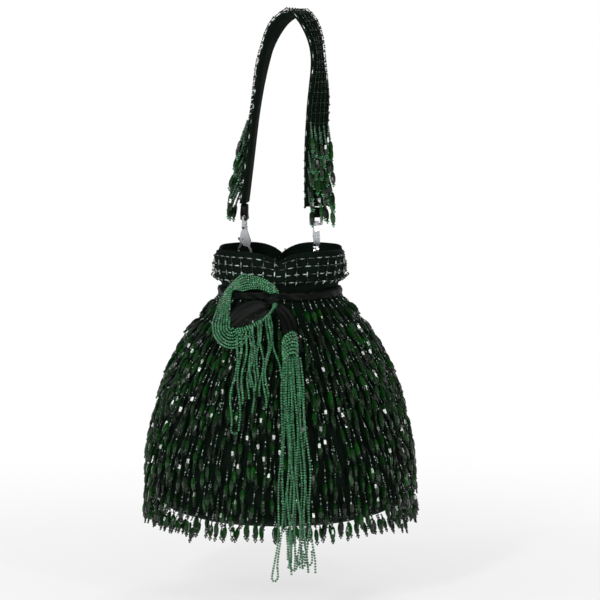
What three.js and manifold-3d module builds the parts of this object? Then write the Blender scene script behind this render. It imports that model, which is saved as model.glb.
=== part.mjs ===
// Potli bag: a round drawstring pouch of dark green velvet dressed with glass beads, hung from a short
// padded handle by two swivel claw clips. Millimetres, +Z up. The origin is under the top of the handle,
// where a hook or a hand carries the bag. The handle's arch lies in the XZ plane.

import * as THREE from 'three';
import { mergeVertices } from 'three/addons/utils/BufferGeometryUtils.js';
import Module from 'manifold-3d';

const wasm = await Module();
wasm.setup();

const seatGap = 0.3;              // between pieces that touch

// Handle
const strapWidth = 20;
const strapThickness = 5;
const strapCorner = 2;            // how far the padded edges are rounded off
const gripFlat = 10;              // straight length at the top of the arch
const handleRise = 146;           // from the grip down to the strap's ends
const clipReach = 35.5;           // each clip from the bag's axis
const gripOffset = 16;            // grip's middle, right of the bag's axis
const netThickness = 1.7;         // bead net on the strap's outer face
const netMargin = 1;              // bare edge of the strap beside the net
const fringeRise = 64;            // the strap's fringes are sewn on from this far above its ends
const fringeLength = 82;
const strapFringeBulge = 5.5;
const fringeFoot = 1.5;           // depth of the strap's fringes where they start

// Tabs, swivel rings and claws
const tabCloth = 1.3;
const tabSeat = 0.9;              // tab's top below the strap's slanting end
const tabDrop = [12, 6];          // ring bar below the strap's end, left and right
const ringWire = 1.8;
const ringWidth = 11;
const tabClearance = 0.4;         // between the tab's edges and the ring's sides
const ringHeight = 8;             // between the middles of its upper and lower bars
const postRadius = 1;
const postHeadRadius = 1.9;
const postHeadHeight = 1.2;
const bossWall = 0.6;             // of the ring's eye beyond the post's head
const postClearance = 0.4;
const clawBodyThickness = 3.6;
const clawShoulder = 1.9;         // half the body's width under the ring
const clawOutline = [             // down the lever's side and back up, below the ring's lower bar
  [-3.2, -5], [-3.6, -10.5], [-0.6, -14.4], [4.2, -15.6], [5, -10.5], [3, -5],
];
const hookHole = 3.9;             // radius of the hook's eye
const hookOuter = 6.1;
const hookArc = [50, -196];       // from the body round the bottom to the open end
const hookMiddle = 19.5;          // middle of the eye below the ring's lower bar
const clawTurn = [30, -37];       // how the claws hang, about +Z
const leverThickness = 1.3;
const leverSlot = 2;
const slotSize = [7, 11.5];
const slotMiddle = [-2.6, -10.6];
const leverPivot = [-1.2, -9.3];
const leverThumb = [[-0.2, 1.9], [-4.2, 1.2], [-4, -0.2], [-2.2, -2.2]];   // from the pivot
const leverTip = [[-5.3, 2.8], [-3.9, 2.8]];                              // from the eye's middle
const leverBack = [[0.4, -2.4], [1.6, 0]];                                // from the pivot
const pinRadius = 0.6;
const springRadius = 0.8;
const springPlace = [0.8, 3.2];   // from the lever's pivot

// Pouch, from the drawstring's level
const neckDrop = 25;              // drawstring below the middle of the claws' hooks
const clothWall = 1.6;
const liningWall = 1;
const wallSlope = 1.25;           // a wall's width across over its thickness, on the pouch's slope
const neckRadius = 44.5;
const neckTop = 3;
const neckFoot = 7;               // top row of fringe below the drawstring's middle
const pouchRadius = 100.5;
const fringeRows = 12;
const rowPitch = 14.75;
const girthShares = [             // share of the way from neck to widest, and rows of fringe down
  [0.036, 0], [0.446, 2], [0.711, 4], [0.866, 6], [0.982, 8], [1, 10], [0.866, 11], [0.491, 11.46],
];
const beadProud = 7.5;            // how far the drop beads stand off the velvet
const dropSwing = 5.5;            // and off the row that they hang from
const strandDepth = 2.4;          // of a row at its stitches
const strandBulge = 2;            // of its strands half way down
const dropGroove = 2.2;           // between the drops
const ridgesAround = 24;
const drawstringHeight = 10;
const drawstringThickness = 2;
const drawstringPleats = 24;
const drawstringPleat = 0.4;

// Collar above the drawstring
const collarRise = 33;
const collarWall = 2;
const collarFlare = [             // beyond the neck's radius, and share of the rise
  [1.1, 0], [1.4, 0.08], [5.6, 0.2], [7.6, 0.4], [8.8, 0.65], [9.1, 0.85], [8.8, 1],
];
const lobeDip = 9;                // how far the rim is pinched in between its lobes
const notchDip = 0.3;             // share of the rise lost at a notch
const notchTurn = -54;            // direction of the front notch
const pleats = 16;
const pleatDepth = 0.9;

// Fabric loops inside the collar, which the claws hook into
const loopCord = 1.6;
const loopRise = 2.9;             // cord's middle above the middle of the hook's wire
const loopSpread = 4.4;
const loopSeam = 2;               // loops' feet below the neck's edge
const loopLegs = [-6, -1];        // and the bends of their legs below the hook's wire

// Knot, tails and tassels, placed from the front of the bag
const frontTurn = 38;             // the front, from the plane across the handle
const tasselOff = 5.5;            // middle of the strands off the body's beads
const tailWidth = 12;
const tailThickness = 2.4;
const knotRadius = 5.5;
const knotScale = [1.15, 0.75, 1];
const knotAt = [-5.5, -3];
const headRadius = [5.8, 6.8];    // left and right
const headHeight = 20;
const headRows = 6;
const rightHead = [7.5, -37];     // across the front, and above the drawstring's level
const leftHead = [-46.5, -37];
const skirtEnd = -209;            // lowest bead of the long tassel
const skirtWidth = 25;
const skirtThickness = 9;
const skirtMiddle = 8.7;          // across the front, at its top
const skirtDrift = 3;             // and how far it strays lower down
const shortSkirtTop = -33;
const shortSkirtLength = 66;
const shortSkirtWidth = 29;
const shortSkirtThickness = 6;
const shortSkirtOff = 3.5;
const leftTailOff = 2.5;
const ropeRadius = 3.3;

const degree = Math.PI / 180;
const sides = [-1, 1];
const sideNames = ['left', 'right'];

const velvet = { color: 0x0b1a10, roughness: 0.9, metalness: 0 };
const velvetLight = { color: 0x14291a, roughness: 0.9, metalness: 0 };
const satin = { color: 0x0a120c, roughness: 0.6, metalness: 0 };
const glassBeads = { color: 0x0d3516, roughness: 0.15, metalness: 0 };
const brightBeads = { color: 0x155c37, roughness: 0.2, metalness: 0 };
const silverMetal = { color: 0xc9ccd0, roughness: 0.2, metalness: 1 };

// Turns a geometry into one whose faces all point out
function facingOut(geometry) {
  geometry.deleteAttribute('normal');
  geometry.deleteAttribute('uv');
  const merged = mergeVertices(geometry, 1e-5);
  const point = merged.attributes.position;
  const index = merged.index.array;
  const kept = [];
  let volume = 0;
  for (let i = 0; i < index.length; i += 3) {
    const [a, b, c] = [index[i], index[i + 1], index[i + 2]];
    if (a === b || b === c || a === c) continue;
    const [pa, pb, pc] = [a, b, c].map((k) => new THREE.Vector3().fromBufferAttribute(point, k));
    volume += pa.dot(pb.cross(pc));
    kept.push(a, b, c);
  }
  if (volume < 0) kept.reverse();
  merged.setIndex(kept);
  return merged;
}

// A closed body through rings of points, with a flat fan on each end
function loft(rings) {
  const count = rings[0].length;
  const points = rings.flat();
  const faces = [];
  for (let r = 0; r + 1 < rings.length; r += 1) {
    for (let k = 0; k < count; k += 1) {
      const next = (k + 1) % count;
      const [a, b] = [r * count + k, r * count + next];
      faces.push(a, b, b + count, a, b + count, a + count);
    }
  }
  [0, rings.length - 1].forEach((r) => {
    const middle = points.length;
    points.push(rings[r].reduce((sum, p) => sum.add(p), new THREE.Vector3()).divideScalar(count));
    for (let k = 0; k < count; k += 1) {
      const [a, b] = [r * count + k, r * count + ((k + 1) % count)];
      faces.push(...(r === 0 ? [middle, b, a] : [middle, a, b]));
    }
  });
  const geometry = new THREE.BufferGeometry().setFromPoints(points);
  geometry.setIndex(faces);
  return facingOut(geometry);
}

// A turned ring or cup about +Z from its profile of [radius, height], then shaped around by angle
function turned(profile, segments, shape) {
  const geometry = new THREE.LatheGeometry(profile.map(([r, z]) => new THREE.Vector2(r, z)), segments);
  geometry.rotateX(Math.PI / 2);
  const point = geometry.attributes.position;
  for (let i = 0; shape && i < point.count; i += 1) {
    const [x, y, z] = [point.getX(i), point.getY(i), point.getZ(i)];
    const [radius, height] = shape(Math.atan2(y, x), Math.hypot(x, y), z);
    const scale = Math.hypot(x, y) > 0 ? radius / Math.hypot(x, y) : 1;
    point.setXYZ(i, x * scale, y * scale, height);
  }
  return facingOut(geometry);
}

// A flat outline of [across, up] points extruded to a thickness, standing across the Y axis
function plate(shape, thickness) {
  const options = { depth: thickness, bevelEnabled: false, curveSegments: 8 };
  const geometry = new THREE.ExtrudeGeometry(shape, options);
  geometry.translate(0, 0, -thickness / 2);
  geometry.rotateX(Math.PI / 2);
  return facingOut(geometry);
}

function post(radius, low, high, segments = 14) {
  const geometry = new THREE.CylinderGeometry(radius, radius, high - low, segments);
  geometry.rotateX(Math.PI / 2);
  geometry.translate(0, 0, (low + high) / 2);
  return geometry;
}

// A round bar across the Y axis at [across, up]
function crossBar(radius, length, [across, up], segments = 12) {
  const geometry = new THREE.CylinderGeometry(radius, radius, length, segments);
  geometry.translate(across, 0, up);
  return geometry;
}

function box(wide, deep, high, x, y, z) {
  return new THREE.BoxGeometry(wide, deep, high).translate(x, y, z);
}

function solid(geometry) {
  const ready = facingOut(geometry.clone());
  return new wasm.Manifold(new wasm.Mesh({
    numProp: 3,
    vertProperties: new Float32Array(ready.attributes.position.array),
    triVerts: new Uint32Array(ready.index.array),
  }));
}

function carved(first, joined, cut) {
  let body = solid(first);
  joined.forEach((piece) => { body = body.add(solid(piece)); });
  cut.forEach((piece) => { body = body.subtract(solid(piece)); });
  const mesh = body.getMesh();
  const geometry = new THREE.BufferGeometry();
  geometry.setAttribute('position', new THREE.BufferAttribute(new Float32Array(mesh.vertProperties), 3));
  geometry.setIndex([...mesh.triVerts]);
  return geometry;
}

const bag = new THREE.Group();

function add(parent, name, geometry, look) {
  const mesh = new THREE.Mesh(geometry, new THREE.MeshStandardMaterial(look));
  mesh.name = name;
  parent.add(mesh);
  return mesh;
}

const bagAxisX = -gripOffset;
const clipX = sides.map((side) => bagAxisX + side * clipReach);

// Handle: the arch's middle line runs up the left leg, along the flat grip and down the right leg. Each
// leg is given as shares of its clip's X and of the handle's rise.
const leftLeg = [[1, 1], [0.9, 0.78], [0.77, 0.5], [0.58, 0.2], [0.34, 0.045]];
const rightLeg = [[0.62, 0.035], [0.97, 0.14], [1.1, 0.36], [0.98, 0.68], [1, 1]];
const gripMiddle = strapThickness / 2;

function legPoint(side, [shareX, shareZ]) {
  return new THREE.Vector3(clipX[side] * shareX, 0, -handleRise * shareZ);
}

const gripLeft = new THREE.Vector3(-gripFlat / 2, 0, gripMiddle);
const gripRight = new THREE.Vector3(gripFlat / 2, 0, gripMiddle);
const leftCurve = new THREE.CatmullRomCurve3([...leftLeg.map((p) => legPoint(0, p)), gripLeft]);
const rightCurve = new THREE.CatmullRomCurve3([gripRight, ...rightLeg.map((p) => legPoint(1, p))]);

// Twist of the strap by depth under the grip: none at the top, then a quarter of a turn shared by the legs
const twistLeft = [[0, 0], [0.2, 17], [0.5, 28], [1, 25]];
const twistRight = [[0, 0], [0.2, -14], [0.5, 16], [1, 25]];

function twistAt(table, depth) {
  const share = Math.min(Math.max(depth / handleRise, 0), 1);
  const next = Math.max(1, table.findIndex(([at]) => share <= at));
  const [[fromAt, from], [toAt, to]] = [table[next - 1], table[next]];
  return THREE.MathUtils.lerp(from, to, THREE.MathUtils.smoothstep(share, fromAt, toAt)) * degree;
}

function strapFrame(middle, tangent, twistTable) {
  const flatOut = new THREE.Vector3().crossVectors(tangent, new THREE.Vector3(0, 1, 0)).normalize();
  const twist = twistAt(twistTable, -middle.z);
  const across = new THREE.Vector3(0, Math.cos(twist), 0).addScaledVector(flatOut, Math.sin(twist));
  const out = new THREE.Vector3().crossVectors(tangent, across).normalize();
  return { middle, across, out };
}

const legSteps = 16;

function legFrames(curve, table) {
  return Array.from({ length: legSteps + 1 }, (_, k) => {
    const at = k / legSteps;
    const middle = curve.getPointAt(at);
    const onGrip = Math.abs(middle.x) <= gripFlat / 2 + 1e-6 && middle.z > 0;
    const tangent = onGrip ? new THREE.Vector3(1, 0, 0) : curve.getTangentAt(at);
    return strapFrame(middle, tangent, table);
  });
}

const strapFrames = [...legFrames(leftCurve, twistLeft), ...legFrames(rightCurve, twistRight)];

function ringOn(frame, outline) {
  return outline.map(([across, out]) => frame.middle.clone()
    .addScaledVector(frame.across, across).addScaledVector(frame.out, out));
}

const halfWidth = strapWidth / 2;
const halfThick = strapThickness / 2;
const strapOutline = [
  [halfWidth, -halfThick / 2], [halfWidth, halfThick / 2], [halfWidth - strapCorner, halfThick],
  [strapCorner - halfWidth, halfThick], [-halfWidth, halfThick / 2], [-halfWidth, -halfThick / 2],
  [strapCorner - halfWidth, -halfThick], [halfWidth - strapCorner, -halfThick],
];
add(bag, 'strap', loft(strapFrames.map((frame) => ringOn(frame, strapOutline))), velvet);

// Bead net: five raised lines of beads along the strap's outer face
const netHalf = halfWidth - strapCorner - netMargin + 1;
const netInner = halfThick + seatGap;
const netOutline = [[netHalf, netInner], [-netHalf, netInner]];
for (let k = 0; k <= 8; k += 1) {
  const height = k % 2 === 0 ? netThickness : netThickness * 0.5;
  netOutline.push([netHalf * (k / 4 - 1), netInner + height]);
}
add(bag, 'strap_net', loft(strapFrames.slice(1, -1).map((frame) => ringOn(frame, netOutline))), glassBeads);

// Fringe on the lower third of each leg, bulging off the net and hanging past the strap's end
const netOuter = netInner + netThickness + seatGap;
sides.forEach((side, k) => {
  const ends = k === 0 ? [...strapFrames.slice(0, legSteps)] : [...strapFrames.slice(legSteps + 2)].reverse();
  const low = ends[0];
  const rings = [];
  const stations = 7;
  const fringeStart = handleRise - fringeRise;
  for (let s = 0; s <= stations; s += 1) {
    const share = s / stations;
    const z = -fringeStart - fringeLength * share;
    const above = ends.findIndex((frame) => frame.middle.z > z);
    let { middle, across, out } = low;
    if (above > 0) {
      const [a, b] = [ends[above - 1], ends[above]];
      const part = (z - a.middle.z) / (b.middle.z - a.middle.z);
      middle = a.middle.clone().lerp(b.middle, part);
      across = a.across.clone().lerp(b.across, part);
      out = a.out.clone().lerp(b.out, part);
    } else {
      middle = middle.clone().setZ(z);
    }
    const bulge = fringeFoot + strapFringeBulge * Math.sin(Math.min(1, share * 1.25) * Math.PI * 0.62);
    const width = halfWidth * (0.92 + 0.1 * share);
    const outline = [];
    for (let q = 0; q <= 8; q += 1) {
      const ridge = q % 2 === 0 ? 1 : 0.72;
      const crown = 0.55 + 0.45 * Math.sin(q / 8 * Math.PI);
      outline.push([width * (q / 4 - 1), netOuter + bulge * ridge * crown]);
    }
    outline.push([width, netOuter], [-width, netOuter]);
    rings.push(ringOn({ middle, across, out }, outline));
  }
  add(bag, `strap_fringe_${sideNames[k]}`, loft(rings), brightBeads);
});

// Clips: a cloth tab folded round the ring's bar, the swivel ring, and the claw with its lever
const strapEndZ = -handleRise;
const ringBarZ = tabDrop.map((drop) => strapEndZ - drop);
const lowerBarZ = ringBarZ.map((z) => z - ringHeight);
const hookWire = (hookHole + hookOuter) / 2;
const hookZ = lowerBarZ.map((z) => z - hookMiddle - hookWire);
const tabInner = ringWire / 2 * Math.SQRT2 + seatGap;
const tabWidth = ringWidth - 2 * (ringWire + tabClearance);

function tabGeometry(drop) {
  const outer = tabInner + tabCloth;
  const top = drop - tabSeat;
  const shape = new THREE.Shape();
  shape.moveTo(-outer, top);
  shape.lineTo(-outer, 0);
  shape.absarc(0, 0, outer, Math.PI, 2 * Math.PI, false);
  shape.lineTo(outer, top);
  shape.closePath();
  const eye = new THREE.Path();
  eye.absarc(0, 0, tabInner, 0, 2 * Math.PI, true);
  shape.holes.push(eye);
  return plate(shape, tabWidth);
}

function ringGeometry() {
  const shape = new THREE.Shape();
  const [halfOuter, halfInner] = [ringWidth / 2, ringWidth / 2 - ringWire];
  const [topOuter, topInner] = [ringWire / 2, -ringWire / 2];
  const [lowOuter, lowInner] = [-ringHeight - ringWire / 2, -ringHeight + ringWire / 2];
  const rounding = 2;
  shape.moveTo(-halfOuter, topOuter);
  shape.lineTo(-halfOuter, lowOuter + rounding);
  shape.quadraticCurveTo(-halfOuter, lowOuter, -halfOuter + rounding, lowOuter);
  shape.lineTo(halfOuter - rounding, lowOuter);
  shape.quadraticCurveTo(halfOuter, lowOuter, halfOuter, lowOuter + rounding);
  shape.lineTo(halfOuter, topOuter);
  shape.closePath();
  const eye = new THREE.Path();
  eye.moveTo(-halfInner, topInner);
  eye.lineTo(halfInner, topInner);
  eye.lineTo(halfInner, lowInner);
  eye.lineTo(-halfInner, lowInner);
  eye.closePath();
  shape.holes.push(eye);
  const boss = post(postHeadRadius + bossWall, -ringHeight - ringWire / 2, -ringHeight + ringWire / 2);
  const bore = post(postRadius + postClearance, -ringHeight - ringWire, -ringHeight + ringWire);
  return carved(plate(shape, ringWire), [boss], [bore]);
}

// Round wire of the hook, bent about the eye's middle
function hookGeometry() {
  const wire = (hookOuter - hookHole) / 2;
  const [bends, around] = [20, 8];
  return loft(Array.from({ length: bends + 1 }, (_, k) => {
    const turn = THREE.MathUtils.lerp(...hookArc, k / bends) * degree;
    return Array.from({ length: around }, (_unused, q) => {
      const lean = (q + 0.5) / around * 2 * Math.PI;
      const reach = hookWire + wire * Math.cos(lean);
      return new THREE.Vector3(
        reach * Math.cos(turn), wire * Math.sin(lean), reach * Math.sin(turn) - hookMiddle);
    });
  }));
}

// The claw hangs from the ring's lower bar, which is at height 0 here
function clawGeometry() {
  const neckTopZ = -ringWire / 2 - seatGap;
  const headLow = ringWire / 2 + seatGap;
  const body = new THREE.Shape();
  body.moveTo(-clawShoulder, neckTopZ);
  clawOutline.forEach(([across, up]) => body.lineTo(across, up));
  body.lineTo(clawShoulder, neckTopZ);
  body.closePath();
  const head = post(postHeadRadius, headLow, headLow + postHeadHeight);
  const neck = post(postRadius, neckTopZ - postHeadHeight, headLow + postHeadHeight / 2);
  const eye = crossBar(hookHole, clawBodyThickness * 2, [0, -hookMiddle], 32);
  const slot = box(slotSize[0], leverSlot, slotSize[1], slotMiddle[0], 0, slotMiddle[1]);
  const pinHole = crossBar(pinRadius + seatGap, clawBodyThickness * 2, leverPivot);
  const bodyPlate = carved(plate(body, clawBodyThickness), [], [slot, pinHole, eye]);
  return carved(bodyPlate, [neck, head, hookGeometry()], []);
}

function leverGeometry() {
  const [across, up] = leverPivot;
  const outline = [
    ...leverThumb.map(([x, z]) => [across + x, up + z]),
    ...leverTip.map(([x, z]) => [x, z - hookMiddle]),
    ...leverBack.map(([x, z]) => [across + x, up + z]),
  ];
  const shape = new THREE.Shape(outline.map(([x, z]) => new THREE.Vector2(x, z)));
  return carved(plate(shape, leverThickness), [],
    [crossBar(pinRadius + seatGap, leverThickness * 3, leverPivot)]);
}

sides.forEach((side, k) => {
  const clip = new THREE.Group();
  clip.position.set(clipX[k], 0, 0);
  bag.add(clip);
  const name = sideNames[k];
  const strapEnd = k === 0 ? strapFrames[0] : strapFrames[strapFrames.length - 1];
  const strapTurn = Math.atan2(strapEnd.across.y, strapEnd.across.x) - Math.PI / 2;
  const tab = add(clip, `strap_tab_${name}`, tabGeometry(tabDrop[k]), satin);
  tab.position.z = ringBarZ[k];
  tab.rotation.z = strapTurn;
  const ring = add(clip, `swivel_ring_${name}`, ringGeometry(), silverMetal);
  ring.position.z = ringBarZ[k];
  ring.rotation.z = strapTurn + Math.PI / 2;
  const claw = new THREE.Group();
  claw.position.z = lowerBarZ[k];
  claw.rotation.z = clawTurn[k] * degree;
  clip.add(claw);
  add(claw, `claw_${name}`, clawGeometry(), silverMetal);
  add(claw, `claw_lever_${name}`, leverGeometry(), silverMetal);
  add(claw, `lever_pin_${name}`, crossBar(pinRadius, clawBodyThickness, leverPivot), silverMetal);
  const springMiddle = leverPivot.map((at, axis) => at + springPlace[axis]);
  add(claw, `lever_spring_${name}`, crossBar(springRadius, leverThickness, springMiddle), silverMetal);
});

// Pouch, in a frame of its own at the drawstring's level on the bag's axis
const pouch = new THREE.Group();
pouch.position.set(bagAxisX, 0, (hookZ[0] + hookZ[1]) / 2 - neckDrop);
bag.add(pouch);

const girth = girthShares.map(([share, rows]) => [
  neckRadius + (pouchRadius - neckRadius) * share, -neckFoot - rowPitch * rows,
]);

function velvetRadius(z) {
  const line = [[neckRadius, neckTop], ...girth];
  const low = line.findIndex(([, at]) => at < z);
  if (low === 0) return neckRadius;
  if (low < 0) return line[line.length - 1][0];
  const [[upperR, upperZ], [lowerR, lowerZ]] = [line[low - 1], line[low]];
  return upperR + (lowerR - upperR) * (upperZ - z) / (upperZ - lowerZ);
}

// A cup that follows the velvet's inner face at an offset: the velvet itself, or the lining in it
function cupProfile(outerOffset, wall, top) {
  const [baseRadius, baseZ] = girth[girth.length - 1];
  const up = [[0, baseZ + outerOffset], [baseRadius - outerOffset, baseZ + outerOffset]];
  const climb = girth.slice(0, -1).reverse();
  climb.forEach(([r, z]) => up.push([r - outerOffset * wallSlope, z]));
  up.push([neckRadius - outerOffset * wallSlope, top]);
  const down = [[neckRadius - (outerOffset + wall) * wallSlope, top]];
  girth.slice(0, -1).forEach(([r, z]) => down.push([r - (outerOffset + wall) * wallSlope, z]));
  down.push([baseRadius - outerOffset - wall, baseZ + outerOffset + wall], [0, baseZ + outerOffset + wall]);
  return [...up, ...down];
}

add(pouch, 'bag_shell', turned(cupProfile(0, clothWall, neckTop), 48), velvet);
add(pouch, 'lining', turned(cupProfile(clothWall + seatGap, liningWall, neckTop), 24), satin);

// Bead fringe rows: each hangs from its own line of stitches down to the next, the last one free
for (let row = 0; row < fringeRows; row += 1) {
  const top = girth[0][1] - row * rowPitch;
  const bottom = top - rowPitch + (row < fringeRows - 1 ? seatGap : 0);
  const innerTop = velvetRadius(top) + seatGap;
  const outerLow = Math.max(velvetRadius(bottom) + beadProud, innerTop + dropSwing);
  const innerLow = Math.max(velvetRadius(bottom) + seatGap, outerLow - beadProud);
  const middle = (top + bottom) / 2;
  const profile = [
    [innerTop, top], [innerLow, bottom], [outerLow, bottom],
    [(innerTop + outerLow) / 2 + strandBulge, middle], [innerTop + strandDepth, top],
  ];
  const half = row % 2 === 0 ? 0 : Math.PI / ridgesAround;
  const ridged = turned([...profile, profile[0]], ridgesAround * 2, (angle, radius, z) => {
    const nearLow = z < middle - 0.1 && radius > outerLow - 0.1;
    const groove = (1 - Math.cos((angle + half) * ridgesAround)) / 2;
    return [nearLow ? radius - dropGroove * groove : radius, z];
  });
  add(pouch, `fringe_row_${String(row + 1).padStart(2, '0')}`, ridged, glassBeads);
}

// Drawstring round the neck, gathered in small pleats
const drawInner = velvetRadius(-drawstringHeight / 2) + seatGap;
const drawProfile = [
  [drawInner, -drawstringHeight / 2], [drawInner + drawstringThickness, -drawstringHeight / 2],
  [drawInner + drawstringThickness, drawstringHeight / 2], [drawInner, drawstringHeight / 2],
];
add(pouch, 'drawstring', turned([...drawProfile, drawProfile[0]], 48, (angle, radius, z) => {
  const outside = radius > drawInner + drawstringThickness / 2;
  return [radius + (outside ? drawstringPleat * Math.cos(angle * drawstringPleats) : 0), z];
}), satin);

// Collar: the velvet above the drawstring, spreading into four lobes with a notch between each two
const collarBase = neckTop + seatGap;
const collarOuter = collarFlare.map(([wider, share]) => [
  neckRadius + wider, collarBase + share * (collarRise - collarBase),
]);
const collarInner = collarOuter.map(([r, z]) => [r - collarWall, z]).reverse();
const collarProfile = [...collarOuter, ...collarInner, collarOuter[0]];
function collarShape(angle, radius, z) {
  const lobe = Math.abs(Math.sin(2 * (angle - notchTurn * degree)));
  const share = (z - collarBase) / (collarRise - collarBase);
  const pinch = lobeDip * share * share * (1 - lobe) ** 1.4;
  const pleat = pleatDepth * (1 - share) * Math.sin(share * Math.PI) * Math.cos(angle * pleats);
  const height = z - share * share * notchDip * collarRise * (1 - lobe) ** 2.2;
  return [radius - pinch + pleat, height];
}
add(pouch, 'collar', turned(collarProfile, 64, collarShape), velvetLight);

// Loops for the claws, sewn to the lining at the neck
const liningInner = neckRadius - (clothWall + seatGap + liningWall) * wallSlope;
sides.forEach((side, k) => {
  const turn = clawTurn[k] * degree;
  const across = new THREE.Vector3(-Math.sin(turn), Math.cos(turn), 0);
  const wireZ = hookZ[k] - pouch.position.z;
  const seatRadius = liningInner - seatGap - loopCord / 2;
  const along = (spread, rise) => new THREE.Vector3(side * clipReach, 0, wireZ + rise)
    .addScaledVector(across, spread);
  const foot = (spread) => {
    const point = along(spread, 0).setZ(neckTop - loopSeam);
    point.x = side * Math.sqrt(seatRadius ** 2 - point.y ** 2);
    return point;
  };
  const arch = [-60, -30, 0, 30, 60].map((angle) => along(
    loopSpread * Math.sin(angle * degree), loopRise * Math.cos(angle * degree)));
  const path = new THREE.CatmullRomCurve3([
    foot(-loopSpread), ...loopLegs.map((rise) => along(-loopSpread, rise)), ...arch,
    ...[...loopLegs].reverse().map((rise) => along(loopSpread, rise)), foot(loopSpread),
  ]);
  const section = new THREE.Shape();
  section.absarc(0, 0, loopCord / 2, 0, 2 * Math.PI, false);
  const geometry = new THREE.ExtrudeGeometry(section, { steps: 26, extrudePath: path, curveSegments: 3 });
  add(pouch, `clip_loop_${sideNames[k]}`, facingOut(geometry), satin);
});

// Front: knot, tails and tassels. Local -Y looks out of the front, X runs across it.
const front = new THREE.Group();
front.rotation.z = frontTurn * degree;
pouch.add(front);

// Outside of the beads at a height; below the widest row the strands hang straight
const widest = girth.reduce((most, point) => (point[0] > most[0] ? point : most));
function outside(z) {
  if (z > -drawstringHeight / 2) {
    const overCollar = collarOuter.filter(([, at]) => at < z + ropeRadius).map(([r]) => r + pleatDepth);
    return Math.max(drawInner + drawstringThickness + drawstringPleat, ...overCollar);
  }
  const radius = z < widest[1] ? widest[0] : velvetRadius(z);
  return radius + beadProud;
}

function onFront([across, z], off) {
  const radius = outside(z) + off;
  return new THREE.Vector3(across, -Math.sqrt(Math.max(0, radius ** 2 - across ** 2)), z);
}

// Rings across a path on the front: each station is [across, z, half width, half depth]
function frontLoft(stations, off, flutes, depthOfFlutes) {
  const rings = stations.map(([across, z, wide, deep], at) => {
    const middle = onFront([across, z], off);
    const before = stations[Math.max(0, at - 1)];
    const after = stations[Math.min(stations.length - 1, at + 1)];
    const along = onFront(after, off).sub(onFront(before, off)).normalize();
    const outward = new THREE.Vector3(middle.x, middle.y, 0).normalize();
    const sideways = new THREE.Vector3().crossVectors(along, outward).normalize();
    const facing = new THREE.Vector3().crossVectors(sideways, along).normalize();
    return Array.from({ length: flutes * 2 }, (_, k) => {
      const angle = k / (flutes * 2) * 2 * Math.PI;
      const ridge = 1 - (k % 2) * depthOfFlutes;
      return middle.clone().addScaledVector(sideways, Math.cos(angle) * wide * ridge)
        .addScaledVector(facing, Math.sin(angle) * deep * ridge);
    });
  });
  return loft(rings);
}

add(front, 'drawstring_knot', new THREE.SphereGeometry(knotRadius, 12, 8)
  .scale(...knotScale).translate(...onFront(knotAt, knotRadius * knotScale[1] + seatGap)), satin);

const tailHalf = tailWidth / 2;
const tailDeep = tailThickness / 2;
add(front, 'tail_right', frontLoft([
  [1.8, -8, tailHalf * 0.5, tailDeep], [4, -13, tailHalf * 0.8, tailDeep], [6.5, -20, tailHalf, tailDeep],
  [7.5, rightHead[1] + headHeight / 2 + seatGap, tailHalf * 0.8, tailDeep],
], tasselOff, 5, 0.1), satin);
add(front, 'tail_left', frontLoft([
  [-15, -4, tailHalf * 0.6, tailDeep], [-24, -7, tailHalf * 0.7, tailDeep],
  [-34, -13, tailHalf * 0.8, tailDeep], [-42, -21, tailHalf * 0.7, tailDeep],
], leftTailOff, 5, 0.1), satin);

// Bead-wound heads, lying down the slope of the beads
function headGeometry([across, z], radius) {
  const stations = [];
  for (let turn = 0; turn <= headRows * 2; turn += 1) {
    const wide = radius * (turn % 2 === 0 ? 0.86 : 1);
    stations.push([across, z + headHeight / 2 - turn * headHeight / headRows / 2, wide, wide]);
  }
  return frontLoft(stations, radius + seatGap * 2, 6, 0);
}
add(front, 'tassel_head_right', headGeometry(rightHead, headRadius[1]), brightBeads);
add(front, 'tassel_head_left', headGeometry(leftHead, headRadius[0]), brightBeads);

// Long tassel on the right
const skirtTop = rightHead[1] - headHeight / 2 - seatGap * 5;
const skirtShares = [[0, 0.5], [0.15, 0.66], [0.35, 0.85], [0.6, 0.95], [0.8, 1], [1, 0.96]];
add(front, 'tassel_skirt_right', frontLoft(skirtShares.map(([share, wide]) => [
  skirtMiddle + skirtDrift * Math.sin(share * 0.7 * Math.PI), THREE.MathUtils.lerp(skirtTop, skirtEnd, share),
  skirtWidth / 2 * wide, skirtThickness / 2 * (0.7 + 0.3 * share),
]), tasselOff, 12, 0.16), brightBeads);

// Open loop of bead strands on the left, from the knot round the head's top and back
const loopUpper = [[-13.5, 4], [-17, 8.3], [-22, 10], [-28, 8.6], [-36, -0.5], [-45, -13], [-50.5, -23]];
const loopLower = [[-13, -14.5], [-20.5, -21], [-28, -25], [-35.5, -27]];

function rope(points, off) {
  const path = new THREE.CatmullRomCurve3(points.map((p) => onFront(p, off)));
  const section = new THREE.Shape();
  section.absarc(0, 0, ropeRadius, 0, 2 * Math.PI, false);
  return facingOut(new THREE.ExtrudeGeometry(section, { steps: 16, extrudePath: path, curveSegments: 4 }));
}
add(front, 'tassel_loop_upper', rope(loopUpper, ropeRadius + seatGap * 3), brightBeads);
add(front, 'tassel_loop_lower', rope(loopLower, ropeRadius + seatGap), brightBeads);

// Short strands that hang from the left tassel: across the front, share of the length down, and shares of
// the width and the thickness
const shortSkirtShares = [
  [-21, 0, 0.83, 0.87], [-21, 0.21, 0.97, 1], [-22, 0.52, 1, 1], [-23, 0.82, 0.97, 0.87],
  [-27, 1, 0.62, 0.73],
];
add(front, 'tassel_skirt_left', frontLoft(shortSkirtShares.map(([across, down, wide, deep]) => [
  across, shortSkirtTop - shortSkirtLength * down, shortSkirtWidth / 2 * wide, shortSkirtThickness / 2 * deep,
]), shortSkirtOff, 9, 0.16), brightBeads);

export default bag;
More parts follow.
